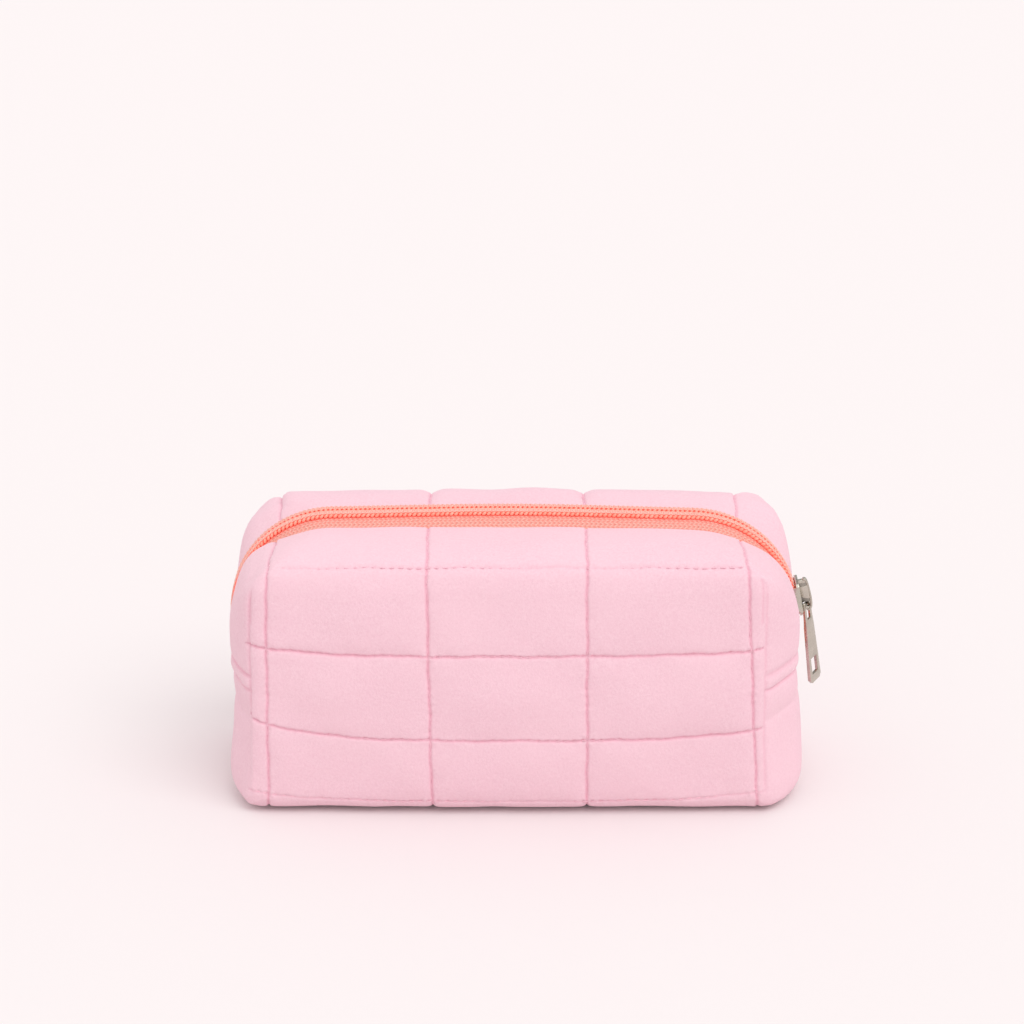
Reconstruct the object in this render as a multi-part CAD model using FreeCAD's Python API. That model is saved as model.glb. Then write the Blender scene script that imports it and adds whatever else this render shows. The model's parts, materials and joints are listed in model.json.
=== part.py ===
"""A soft quilted makeup bag with a coil zip that runs over the top and down both ends.

Row frame, millimetres: +X along the bag towards the closed zip slider, -Y the front face,
+Z up. The origin is on the floor, under the middle of the quilting.
"""

import math
import os

import FreeCAD
import Part

V = FreeCAD.Vector

# ---------------------------------------------------------------- driving sizes
# The bag as a box with soft corners.
END_RIGHT = 95.0          # furthest bulge of the right end
END_LEFT = -90.5          # furthest bulge of the left end
CORNER_SEAM_X = 83.0      # the boxed corner seams, front and back
HALF_DEPTH = 37.5
END_FLAT_HALF = 18.0      # half width of the part of each end that bulges furthest
ZIP_APEX_Z = 93.5         # the zip's top line, at its middle
ZIP_APEX_X = (END_RIGHT + END_LEFT) / 2
ZIP_SHOULDER_Z = 89.5     # the same line's height where it would meet the right end
LEFT_SHOULDER_Z = 90.3    # and the left end
ROOF_Z = 91.5             # the fabric beside the zip, a little lower than the coils
EDGE_TOP_Z = 86.0         # front and back top edges
ARCH_R = 35.5             # the zip's bend from the top down the right end
LEFT_ARCH_R = 33.5        # and down the left end
APEX_R = 900.0
FLOOR_R = 12.0            # bottom edge rounding at the ends
EDGE_R = 9.0              # rounding of the front and back edges
PLAN_R = 11.0             # rounding of the corners seen from above

# The laminate, from the outside in.
LAYER_GAP = 0.05
VELVET = 1.2
WADDING = 3.0
LINING = 0.5
VELVET_IN = VELVET
WADDING_OUT = VELVET_IN + LAYER_GAP
WADDING_IN = WADDING_OUT + WADDING
LINING_OUT = WADDING_IN + LAYER_GAP
LINING_IN = LINING_OUT + LINING

# Quilting: columns run round the bag, rows run along the front and back.
COLUMN_PITCH = 51.0
COLUMNS = [COLUMN_PITCH * k for k in (-1.5, -0.5, 0.5, 1.5)]
ROWS = [3.5, 24.0, 53.0, 83.5]
ROW_END_X = 80.0
GROOVE_DEPTH = 0.5
GROOVE_HALF = 0.6
THREAD_OUT = 0.1
THREAD_IN = 0.45
THREAD_HALF = 0.3

# The end seams, where the zip ends.
SEAM_Z = 44.0

# The zip: a coil chain sewn to two tapes. Depths are measured in from the velvet's surface.
SLOT_HALF = 9.0
TAPE_OUT = 2.2
TAPE_THICK = 0.55
TAPE_IN = TAPE_OUT + TAPE_THICK
TAPE_EDGE = SLOT_HALF - 0.1
TAPE_FOLD = 0.4           # thickness of the tape's margin, folded in along the laminate's edge
TAPE_FOLD_IN = 9.5
TAPE_SPLIT = 0.5          # half the gap between the two tapes
COIL_OUT = -0.2
COIL_IN = TAPE_OUT - LAYER_GAP
COIL_SPLIT = 0.05
COIL_WIDTH = 3.9
CORD_SIDE = 0.9           # coil wall beside the cord
CORD_WALL = 0.65          # coil wall above and below the cord
CORD_PLAY = 0.05
CHAIN_MID = 1.2           # depth that the slider's middle rides at
ZIP_END_Z = SEAM_Z + 0.6
COIL_SPREAD = 1.2         # how far the slider's wedge moves each coil aside
SPREAD_Z = (63.0, 59.4, 50.0, 46.0)   # closed above, open between, closed again at the seam

# Bindings that cover the raw edges inside.
BINDING = 0.6
ZIP_BINDING_OUT = 7.0
ZIP_BINDING_IN = TAPE_FOLD_IN + 0.5 + BINDING
BINDING_PLAY = 0.1
SEAM_BINDING_OUT = LINING_IN + 0.25
SEAM_BINDING_IN = SEAM_BINDING_OUT + 1.4
END_BINDING_DEPTH = 6.0
END_BINDING_HALF = 26.0
CORNER_BINDING_Z = (12.0, 68.0)
BOTTOM_BINDING_HALF = 4.0
BOTTOM_BINDING_X = 78.0

# The slider, in its own frame: U towards the wedge end, Y across, N out of the bag.
SLIDER_ANGLE = 10.0       # where it rests on the right-hand arch, above the arch's centre
BODY_HALF = 5.4
WING_NOSE = 6.5
WING_REAR = 5.2
UPPER_WING = (1.52, 2.6)
LOWER_WING = (-3.1, -2.15)
FLANGE = 0.9
UPPER_FLANGE_N = -0.6
LOWER_FLANGE_N = -1.9
FLANGE_U = (-4.4, 3.5)    # the flanges stop short of both mouths of the channel
WEDGE = (3.0, 5.0, 0.85)  # start, end, half width
NOSE_BEVEL = (1.8, 0.5)
POST_HALF = 0.85
POST_LENGTH = 1.0
EYE_TOP = 5.3
CAP_THICK = 0.8
CAP_OVERHANG = 0.35
PAWL_SLOT_U = 0.0
PAWL_SLOT_HALF = 0.9
PAWL_HALF = 0.65
PAWL_TIP_N = 1.47

# The puller hangs from a crossbar in the slider's eye.
PIVOT_U = 3.1
PIVOT_N = 4.2
PULLER_TILT = 7.5         # outwards from plumb
PULLER_TURN = 28.0        # about its own length, towards the front
PULLER_LENGTH = 27.5
PULLER_THICK = 1.25
HEAD_THICK = 0.95
HEAD_LENGTH = 6.6
HEAD_HALF = 2.45
PULLER_HALF = 4.0
EYE_SLOT_HALF = 1.38
EYE_SLOT = (0.5, 5.6)     # from the pivot line
WINDOW_HALF = 2.3
WINDOW = (19.2, 24.6)

BIG = 400.0


# ---------------------------------------------------------------- outlines and prisms
def inset_polygon(points, inset):
    """A convex counter-clockwise polygon moved inwards by `inset`."""
    moved = []
    n = len(points)
    for i in range(n):
        lines = []
        for a, b in ((points[i - 1], points[i]), (points[i], points[(i + 1) % n])):
            dx, dy = b[0] - a[0], b[1] - a[1]
            length = math.hypot(dx, dy)
            normal = (-dy / length, dx / length)
            lines.append((normal, normal[0] * a[0] + normal[1] * a[1] + inset))
        (n1, c1), (n2, c2) = lines
        det = n1[0] * n2[1] - n1[1] * n2[0]
        moved.append(((c1 * n2[1] - c2 * n1[1]) / det, (n1[0] * c2 - n2[0] * c1) / det))
    return moved


def fillet_points(before, corner, after, radius):
    """Start, middle, end and centre of the arc that rounds a polygon corner."""
    to_a = (before[0] - corner[0], before[1] - corner[1])
    to_b = (after[0] - corner[0], after[1] - corner[1])
    la, lb = math.hypot(*to_a), math.hypot(*to_b)
    ua, ub = (to_a[0] / la, to_a[1] / la), (to_b[0] / lb, to_b[1] / lb)
    half = math.acos(max(-1.0, min(1.0, ua[0] * ub[0] + ua[1] * ub[1]))) / 2
    cut = radius / math.tan(half)
    bis = (ua[0] + ub[0], ua[1] + ub[1])
    lbis = math.hypot(*bis)
    reach = radius / math.sin(half)
    centre = (corner[0] + bis[0] / lbis * reach, corner[1] + bis[1] / lbis * reach)
    start = (corner[0] + ua[0] * cut, corner[1] + ua[1] * cut)
    end = (corner[0] + ub[0] * cut, corner[1] + ub[1] * cut)
    back = reach - radius
    middle = (corner[0] + bis[0] / lbis * back, corner[1] + bis[1] / lbis * back)
    return start, middle, end, centre


def outline_wire(points, radii, place, inset=0.0):
    """A closed wire of lines and arcs; `place` turns an outline point into a 3-D one."""
    pts = inset_polygon(points, inset)
    n = len(pts)
    corners = []
    for i in range(n):
        r = max(radii[i] - inset, 0.0)
        if r > 0.01:
            corners.append(fillet_points(pts[i - 1], pts[i], pts[(i + 1) % n], r)[:3])
        else:
            corners.append((pts[i], None, pts[i]))
    edges = []
    for i, (start, middle, end) in enumerate(corners):
        if middle:
            edges.append(Part.Arc(place(start), place(middle), place(end)).toShape())
        following = corners[(i + 1) % n][0]
        if math.dist(end, following) > 1e-6:
            edges.append(Part.makeLine(place(end), place(following)))
    return Part.Wire(edges)


def prism(wire, along):
    return Part.Face(wire).extrude(along)


def block(x, y, z):
    """A box from its (low, high) pairs."""
    return Part.makeBox(x[1] - x[0], y[1] - y[0], z[1] - z[0], V(x[0], y[0], z[0]))


# The bag's three outlines. Front view:
FRONT_VIEW = [
    (END_LEFT, 0.0),
    (END_RIGHT, 0.0),
    (END_RIGHT, ZIP_SHOULDER_Z),
    (ZIP_APEX_X, ZIP_APEX_Z),
    (END_LEFT, LEFT_SHOULDER_Z),
]
FRONT_RADII = [FLOOR_R, FLOOR_R, ARCH_R, APEX_R, LEFT_ARCH_R]
# End view:
END_VIEW = [
    (-HALF_DEPTH, 0.0),
    (HALF_DEPTH, 0.0),
    (HALF_DEPTH, EDGE_TOP_Z),
    (SLOT_HALF + 1, ROOF_Z),
    (-SLOT_HALF - 1, ROOF_Z),
    (-HALF_DEPTH, EDGE_TOP_Z),
]
END_RADII = [EDGE_R, EDGE_R, EDGE_R, 20.0, 20.0, EDGE_R]
# Plan view:
PLAN_VIEW = [
    (-CORNER_SEAM_X, -HALF_DEPTH),
    (CORNER_SEAM_X, -HALF_DEPTH),
    (END_RIGHT, -END_FLAT_HALF),
    (END_RIGHT, END_FLAT_HALF),
    (CORNER_SEAM_X, HALF_DEPTH),
    (-CORNER_SEAM_X, HALF_DEPTH),
    (END_LEFT, END_FLAT_HALF),
    (END_LEFT, -END_FLAT_HALF),
]
PLAN_RADII = [PLAN_R] * len(PLAN_VIEW)


def front_prism(inset, y0=-BIG, y1=BIG):
    wire = outline_wire(FRONT_VIEW, FRONT_RADII, lambda p: V(p[0], y0, p[1]), inset)
    return prism(wire, V(0, y1 - y0, 0))


def end_prism(inset):
    wire = outline_wire(END_VIEW, END_RADII, lambda p: V(-BIG, p[0], p[1]), inset)
    return prism(wire, V(2 * BIG, 0, 0))


def plan_prism(inset, z0=-BIG, z1=BIG):
    wire = outline_wire(PLAN_VIEW, PLAN_RADII, lambda p: V(p[0], p[1], z0), inset)
    return prism(wire, V(0, 0, z1 - z0))


def soft_box(inset):
    """The bag's outside, moved in by `inset` all round."""
    return front_prism(inset).common(end_prism(inset)).common(plan_prism(inset))


def layer(outer, inner):
    """The closed shell between two depths."""
    return soft_box(outer).cut(soft_box(inner))


def back_half(shape):
    """The back half of the bag's fabric, without the zip's slot."""
    slot = block((-BIG, BIG), (-SLOT_HALF, SLOT_HALF), (SEAM_Z, BIG))
    return shape.common(block((-BIG, BIG), (0.0, BIG), (-BIG, BIG))).cut(slot)


def only_solids(shape, least=0.5):
    """The shape's solids over `least` mm3, as one compound or a single solid."""
    kept = [s for s in shape.Solids if s.Volume > least]
    return kept[0] if len(kept) == 1 else Part.makeCompound(kept)


# ---------------------------------------------------------------- fabric, back half
def quilt_lines(half_width):
    """Slabs along the quilting lines: columns right round, rows on the face."""
    slabs = [block((x - half_width, x + half_width), (0.0, BIG), (-BIG, BIG)) for x in COLUMNS]
    for z in ROWS:
        slabs.append(block((-ROW_END_X, ROW_END_X), (HALF_DEPTH / 2, BIG),
                           (z - half_width, z + half_width)))
    joined = slabs[0]
    for slab in slabs[1:]:
        joined = joined.fuse(slab)
    return joined


def velvet():
    groove = layer(-0.5, GROOVE_DEPTH).common(quilt_lines(GROOVE_HALF))
    return only_solids(back_half(layer(0.0, VELVET_IN)).cut(groove))


def wadding():
    return only_solids(back_half(layer(WADDING_OUT, WADDING_IN)))


def lining():
    return only_solids(back_half(layer(LINING_OUT, LINING_IN)))


def quilting_thread():
    thread = layer(THREAD_OUT, THREAD_IN).common(quilt_lines(THREAD_HALF))
    slot = block((-BIG, BIG), (-SLOT_HALF - 1, SLOT_HALF + 1), (SEAM_Z, BIG))
    clear = block((-BIG, BIG), (0.5, BIG), (-BIG, BIG))
    return only_solids(thread.cut(slot).common(clear), 0.05)


# ---------------------------------------------------------------- zip, back half
def zip_band(outer, inner, y0, y1):
    """A strip that follows the zip's path over the bag, between two depths."""
    band = front_prism(outer, y0, y1).cut(front_prism(inner, y0 - 1, y1 + 1))
    return band.common(block((-BIG, BIG), (-BIG, BIG), (ZIP_END_Z, BIG)))


def half_chain_zone(near, far, fixed_edge=False):
    """Where the zip's back half may be, from `near` to `far` from the middle.

    Below the slider both halves stand apart by the width of the slider's wedge. A tape's
    outer edge is sewn down, so it stays where it is.
    """
    left = block((-BIG, 0.0), (near, far), (-BIG, BIG))
    top, open_top, open_low, low = SPREAD_Z
    levels = [(BIG, 0.0), (top, 0.0), (open_top, COIL_SPREAD), (open_low, COIL_SPREAD),
              (low, 0.0), (-BIG, 0.0)]
    inner = [(near + shift, z) for z, shift in levels]
    outer = [(far + (0.0 if fixed_edge else shift), z) for z, shift in levels]
    corners = [V(0.0, y, z) for y, z in inner + outer[::-1]]
    return left.fuse(prism(Part.makePolygon(corners + corners[:1]), V(BIG, 0, 0)))


def zip_tape():
    flat = zip_band(TAPE_OUT, TAPE_IN, -TAPE_EDGE, TAPE_EDGE)
    flat = flat.common(half_chain_zone(TAPE_SPLIT, TAPE_EDGE, fixed_edge=True))
    fold = zip_band(TAPE_OUT, TAPE_FOLD_IN, TAPE_EDGE - TAPE_FOLD, TAPE_EDGE)
    return only_solids(flat.fuse(fold).removeSplitter())


def coil_cord():
    band = zip_band(COIL_OUT + CORD_WALL, COIL_IN - CORD_WALL, -SLOT_HALF, SLOT_HALF)
    zone = half_chain_zone(COIL_SPLIT + CORD_SIDE, COIL_SPLIT + COIL_WIDTH - CORD_SIDE)
    return only_solids(band.common(zone))


def zip_coil():
    band = zip_band(COIL_OUT, COIL_IN, -SLOT_HALF, SLOT_HALF)
    coil = band.common(half_chain_zone(COIL_SPLIT, COIL_SPLIT + COIL_WIDTH))
    hollow = zip_band(COIL_OUT + CORD_WALL - CORD_PLAY, COIL_IN - CORD_WALL + CORD_PLAY,
                      -SLOT_HALF, SLOT_HALF)
    zone = half_chain_zone(COIL_SPLIT + CORD_SIDE - CORD_PLAY,
                           COIL_SPLIT + COIL_WIDTH - CORD_SIDE + CORD_PLAY)
    return only_solids(coil.cut(hollow.common(zone)))


def zip_binding():
    """A U-shaped strip over the folded tape margin, inside the bag."""
    middle = TAPE_EDGE - TAPE_FOLD / 2
    room = TAPE_FOLD / 2 + BINDING_PLAY
    outside = room + BINDING
    strip = zip_band(ZIP_BINDING_OUT, ZIP_BINDING_IN, middle - outside, middle + outside)
    hollow = zip_band(ZIP_BINDING_OUT - 1, ZIP_BINDING_IN - BINDING, middle - room, middle + room)
    return only_solids(strip.cut(hollow))


# ---------------------------------------------------------------- inside seams
def seam_strip(z0, z1):
    return plan_prism(SEAM_BINDING_OUT, z0, z1).cut(plan_prism(SEAM_BINDING_IN, z0 - 1, z1 + 1))


def end_binding(side):
    strip = seam_strip(SEAM_Z - END_BINDING_DEPTH, SEAM_Z)
    x = (CORNER_SEAM_X / 2, BIG) if side > 0 else (-BIG, -CORNER_SEAM_X / 2)
    return only_solids(strip.common(block(x, (-END_BINDING_HALF, END_BINDING_HALF), (-BIG, BIG))))


def corner_bindings():
    strip = seam_strip(*CORNER_BINDING_Z)
    reach = END_BINDING_HALF + 1
    pieces = []
    for sx in (-1, 1):
        for sy in (-1, 1):
            x = sorted((sx * (CORNER_SEAM_X - 9), sx * BIG))
            y = sorted((sy * reach, sy * BIG))
            pieces += strip.common(block(x, y, (-BIG, BIG))).Solids
    return Part.makeCompound(pieces)


def bottom_seam_binding():
    z0 = LINING_IN + 0.25
    return block((-BOTTOM_BINDING_X, BOTTOM_BINDING_X),
                 (-BOTTOM_BINDING_HALF, BOTTOM_BINDING_HALF), (z0, z0 + 2 * BINDING))


# ---------------------------------------------------------------- slider
def arch_centre():
    """Centre of the zip's right-hand bend, as (x, z)."""
    return fillet_points(FRONT_VIEW[1], FRONT_VIEW[2], FRONT_VIEW[3], ARCH_R)[3]


def slider_place():
    """Carries the slider's own frame (U, Y, N as X, Y, Z) to where it rests."""
    cx, cz = arch_centre()
    a = math.radians(SLIDER_ANGLE)
    radius = ARCH_R - CHAIN_MID
    origin = V(cx + radius * math.cos(a), 0.0, cz + radius * math.sin(a))
    turn = FreeCAD.Rotation(V(0, 1, 0), 90.0 - SLIDER_ANGLE)
    return FreeCAD.Placement(origin, turn)


def wing_outline(trim):
    """Half the wing's outline as (u, y) from the rear to the nose, `trim` inside the edge."""
    rear, nose = WING_REAR - trim, WING_NOSE - trim
    return [(-BODY_HALF, rear - 0.8), (-BODY_HALF + 0.8, rear), (-1.0, rear), (2.0, nose),
            (BODY_HALF - 1.4, nose), (BODY_HALF, nose - 1.8)]


def wing(trim, n0, n1):
    side = wing_outline(trim)
    points = [V(u, y, n0) for u, y in side] + [V(u, -y, n0) for u, y in side[::-1]]
    return prism(Part.makePolygon(points + points[:1]), V(0, 0, n1 - n0))


def slider_wings():
    """The two plates with the flanges along their sides, as (upper, lower)."""
    upper = wing(0.0, *UPPER_WING)
    lower = wing(0.0, *LOWER_WING)
    flanged = block(FLANGE_U, (-BIG, BIG), (-BIG, BIG))
    upper_n = (UPPER_FLANGE_N, UPPER_WING[0])
    lower_n = (LOWER_WING[1], LOWER_FLANGE_N)
    upper = upper.fuse(wing(0.0, *upper_n).cut(wing(FLANGE, *upper_n)).common(flanged))
    lower = lower.fuse(wing(0.0, *lower_n).cut(wing(FLANGE, *lower_n)).common(flanged))
    return upper, lower


def nose_bevel():
    run, drop = NOSE_BEVEL
    top = UPPER_WING[1]
    pts = [V(BODY_HALF - run, -BIG, top), V(BODY_HALF + 1, -BIG, top - drop * (run + 1) / run),
           V(BODY_HALF + 1, -BIG, top + 1), V(BODY_HALF - run, -BIG, top + 1)]
    return prism(Part.makePolygon(pts + pts[:1]), V(0, 2 * BIG, 0))


def slider_body():
    upper, lower = slider_wings()
    upper = upper.cut(nose_bevel())
    start, end, half_width = WEDGE
    pts = [V(start, 0, LOWER_WING[1]), V(start + 1.0, half_width, LOWER_WING[1]),
           V(end, half_width, LOWER_WING[1]), V(end, -half_width, LOWER_WING[1]),
           V(start + 1.0, -half_width, LOWER_WING[1])]
    wedge = prism(Part.makePolygon(pts + pts[:1]), V(0, 0, UPPER_WING[0] - LOWER_WING[1]))
    body = upper.fuse(lower).fuse(wedge)
    for u in (-BODY_HALF + 0.2, BODY_HALF - 0.2 - POST_LENGTH):
        body = body.fuse(block((u, u + POST_LENGTH), (-POST_HALF, POST_HALF),
                               (UPPER_WING[0], EYE_TOP)))
    hole = block((PAWL_SLOT_U - PAWL_SLOT_HALF, PAWL_SLOT_U + PAWL_SLOT_HALF),
                 (-PAWL_SLOT_HALF, PAWL_SLOT_HALF), (UPPER_WING[0] - 1, UPPER_WING[1] + 1))
    body = only_solids(body.cut(hole).removeSplitter())
    body.Placement = slider_place()
    return body


def slider_cap():
    """The strap clinched over the two posts; it closes the eye that the puller hangs in."""
    reach = BODY_HALF + CAP_OVERHANG
    n0, n1 = EYE_TOP, EYE_TOP + CAP_THICK
    drop = 1.1
    foot = 0.75
    lug = LAYER_GAP
    pts = [(-reach, n0 - drop), (-BODY_HALF + 0.2 - lug, n0 - drop), (-BODY_HALF + 0.2 - lug, n0),
           (BODY_HALF - 0.2 + lug, n0), (BODY_HALF - 0.2 + lug, n0 - drop), (reach, n0 - drop),
           (reach, n1 - foot), (reach - foot, n1), (-reach + foot, n1), (-reach, n1 - foot)]
    wire = Part.makePolygon([V(u, -POST_HALF, n) for u, n in pts + pts[:1]])
    cap = prism(wire, V(0, 2 * POST_HALF, 0))
    cap.Placement = slider_place()
    return cap


def lock_pawl():
    """The leaf that drops a tooth through the upper wing onto the coils."""
    top = UPPER_WING[1] + LAYER_GAP
    leaf = block((-BODY_HALF + 0.2 + POST_LENGTH + 0.15, PAWL_SLOT_U + PAWL_HALF),
                 (-PAWL_HALF, PAWL_HALF), (top, top + 0.45))
    tooth = block((PAWL_SLOT_U - 0.3, PAWL_SLOT_U + PAWL_HALF), (-PAWL_HALF, PAWL_HALF),
                  (PAWL_TIP_N, top + 0.45))
    pawl = leaf.fuse(tooth).removeSplitter()
    pawl.Placement = slider_place()
    return pawl


# ---------------------------------------------------------------- puller
def puller():
    """A tapered plate on a round crossbar, with a window near its tip.

    Its own frame: Z towards the head, Y across, X out of the bag; the pivot is the origin.
    """
    tip = -PULLER_LENGTH
    half_thick = PULLER_THICK / 2
    side = [(HEAD_HALF, 0.0), (HEAD_HALF + 0.25, -HEAD_LENGTH), (PULLER_HALF, tip + 1.2),
            (PULLER_HALF - 1.2, tip)]
    pts = [V(-half_thick, y, z) for y, z in side] + [V(-half_thick, -y, z) for y, z in side[::-1]]
    plate = prism(Part.makePolygon(pts + pts[:1]), V(PULLER_THICK, 0, 0))
    thin = HEAD_THICK / 2
    for s in (-1, 1):
        face = [V(s * thin, -BIG, 1.0), V(s * thin, -BIG, -HEAD_LENGTH + 2.0),
                V(s * half_thick, -BIG, -HEAD_LENGTH - 1.5), V(s * BIG, -BIG, -HEAD_LENGTH - 1.5),
                V(s * BIG, -BIG, 1.0)]
        plate = plate.cut(prism(Part.makePolygon(face + face[:1]), V(0, 2 * BIG, 0)))
    bar = Part.makeCylinder(thin, 2 * HEAD_HALF, V(0, -HEAD_HALF, 0), V(0, 1, 0))
    eye = block((-BIG, BIG), (-EYE_SLOT_HALF, EYE_SLOT_HALF), (-EYE_SLOT[1], -EYE_SLOT[0]))
    window = block((-BIG, BIG), (-WINDOW_HALF, WINDOW_HALF), (-WINDOW[1], -WINDOW[0]))
    plate = plate.cut(eye).cut(window).fuse(bar).removeSplitter()
    plate = only_solids(plate)
    pivot = slider_place().multVec(V(PIVOT_U, 0, PIVOT_N))
    tilt = FreeCAD.Rotation(V(0, 1, 0), -PULLER_TILT)
    turn = FreeCAD.Rotation(V(0, 0, 1), -PULLER_TURN)
    plate.Placement = FreeCAD.Placement(pivot, tilt.multiply(turn))
    return plate


# ---------------------------------------------------------------- assembly
HALVES = {
    "velvet": velvet,
    "wadding": wadding,
    "lining": lining,
    "quilting_thread": quilting_thread,
    "zip_tape": zip_tape,
    "zip_coil": zip_coil,
    "coil_cord": coil_cord,
    "zip_binding": zip_binding,
}


def build():
    parts = {}
    for kind, make in HALVES.items():
        back = make()
        parts[f"back_{kind}"] = back
        parts[f"front_{kind}"] = back.mirror(V(0, 0, 0), V(0, 1, 0))
    parts["left_end_binding"] = end_binding(-1)
    parts["right_end_binding"] = end_binding(1)
    parts["corner_bindings"] = corner_bindings()
    parts["bottom_seam_binding"] = bottom_seam_binding()
    parts["slider_body"] = slider_body()
    parts["slider_cap"] = slider_cap()
    parts["lock_pawl"] = lock_pawl()
    parts["puller"] = puller()
    return parts


def main():
    os.makedirs("parts", exist_ok=True)
    for name, shape in build().items():
        if not shape.isValid():
            print("not valid:", name)
        shape.exportStep(f"parts/{name}.step")
        print(f"{name:24s} solids {len(shape.Solids)} volume {shape.Volume:10.1f}")
    pivot = slider_place().multVec(V(PIVOT_U, 0, PIVOT_N))
    out = slider_place().Rotation.multVec(V(0, 0, 1))
    print("arch centre", arch_centre(), "pivot", pivot, "slider outward", out)


main()
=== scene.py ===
"""Looks of the quilted velvet makeup bag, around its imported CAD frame; lengths are millimetres."""
import collections
import json
import math
from math import pi, radians, tau

import bmesh
import bpy
import numpy as np
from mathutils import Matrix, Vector, kdtree

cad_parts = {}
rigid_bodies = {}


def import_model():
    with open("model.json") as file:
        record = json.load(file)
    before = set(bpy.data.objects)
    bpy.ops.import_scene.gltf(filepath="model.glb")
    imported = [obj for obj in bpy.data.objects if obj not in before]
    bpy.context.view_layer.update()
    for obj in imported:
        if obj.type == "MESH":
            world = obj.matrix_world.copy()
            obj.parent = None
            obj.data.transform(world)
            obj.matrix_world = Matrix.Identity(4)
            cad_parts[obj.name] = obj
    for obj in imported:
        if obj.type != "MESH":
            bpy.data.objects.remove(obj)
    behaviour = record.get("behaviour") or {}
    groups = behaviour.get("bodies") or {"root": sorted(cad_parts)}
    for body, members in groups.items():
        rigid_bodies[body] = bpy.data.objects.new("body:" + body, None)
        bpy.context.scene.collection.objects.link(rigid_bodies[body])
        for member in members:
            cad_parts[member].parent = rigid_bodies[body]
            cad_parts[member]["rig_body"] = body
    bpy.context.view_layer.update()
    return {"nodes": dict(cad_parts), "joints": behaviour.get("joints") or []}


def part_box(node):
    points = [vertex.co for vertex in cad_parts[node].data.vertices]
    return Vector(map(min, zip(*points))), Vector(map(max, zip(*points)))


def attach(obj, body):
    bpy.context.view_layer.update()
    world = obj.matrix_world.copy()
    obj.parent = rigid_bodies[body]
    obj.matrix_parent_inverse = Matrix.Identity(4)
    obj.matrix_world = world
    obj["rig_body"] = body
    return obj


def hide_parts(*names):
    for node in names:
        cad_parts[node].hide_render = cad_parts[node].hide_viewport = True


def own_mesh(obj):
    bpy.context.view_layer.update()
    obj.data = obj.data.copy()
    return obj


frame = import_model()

MM = 0.001
SCENE = bpy.context.scene
SIDES = ((-1, "front"), (1, "back"))  # y's sign and the name of both halves


def cad_box(node):
    """A CAD node's lowest and highest corners."""
    low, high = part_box(node)
    return np.array(low) / MM, np.array(high) / MM


def joint(name):
    return next(j for j in frame["joints"] if j["name"] == name)


# ---- sizes from the frame
FRONT_LOW, FRONT_HIGH = cad_box("front_velvet")
LEFT_DRAWN_IN = 1.2  # how far the filled left end sits inside its pattern
END_LEFT = FRONT_LOW[0] + LEFT_DRAWN_IN
END_RIGHT = FRONT_HIGH[0]
END_MIDDLE = (END_RIGHT + END_LEFT) / 2
HALF_DEPTH = -FRONT_LOW[1]
ARCH_CENTRE = np.array(joint("slider_travel")["pos_m"])[[0, 2]] / MM
ARCH_R = END_RIGHT - ARCH_CENTRE[0]
PIVOT = np.array(joint("puller_swing")["pos_m"]) / MM
SLIDER_OUT = np.array(joint("pawl_lift")["axis"])
THREAD_HIGH = cad_box("front_quilting_thread")[1]

# ---- the bag's outlines
CORNER_SEAM_X = 83.0  # the boxed-corner seams
END_FLAT_HALF = 18.0  # half the width of the ends' flat part
SHOULDER_Z = 89.5  # where the ends would meet the top without their arches
LEFT_SHOULDER_Z = 90.3
LEFT_ARCH_R = 33.5
TOP_R = 900.0  # the slight crown of the top
APEX_Z = 92.1
ROOF_Z = 91.5  # the top seen from the end, beside the zip's slot
ROOF_HALF = 10.0
EDGE_TOP_Z = 86.0  # the front and back faces' top
SLOT_HALF = 9.0  # half the width of the zip's slot
SEAM_Z = 44.0  # the end seams

FRONT_VIEW = [(END_LEFT, 0.0), (END_RIGHT, 0.0), (END_RIGHT, SHOULDER_Z), (END_MIDDLE, APEX_Z),
              (END_LEFT, LEFT_SHOULDER_Z)]
FRONT_RADII = [7.5, 8.0, ARCH_R, TOP_R, LEFT_ARCH_R]
END_VIEW = [(-HALF_DEPTH, 0.0), (HALF_DEPTH, 0.0), (HALF_DEPTH, EDGE_TOP_Z), (ROOF_HALF, ROOF_Z),
            (-ROOF_HALF, ROOF_Z), (-HALF_DEPTH, EDGE_TOP_Z)]
END_RADII = [5.0, 5.0, 9.0, 20.0, 20.0, 9.0]
PLAN_VIEW = [(-CORNER_SEAM_X, -HALF_DEPTH), (CORNER_SEAM_X, -HALF_DEPTH), (END_RIGHT, -END_FLAT_HALF),
             (END_RIGHT, END_FLAT_HALF), (CORNER_SEAM_X, HALF_DEPTH), (-CORNER_SEAM_X, HALF_DEPTH),
             (END_LEFT, END_FLAT_HALF), (END_LEFT, -END_FLAT_HALF)]
PLAN_RADII = [6.0, 6.0, 11.0, 11.0] * 2
SOFTEN = 4.5  # how far the shell's sharp meetings are rounded
LAMINATE = 4.3  # velvet and wadding together
LINING_GAP = 0.1  # from their inner face to the lining's outer face
LINING_IN = 0.6  # and to its inner face, without its crinkle

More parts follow.
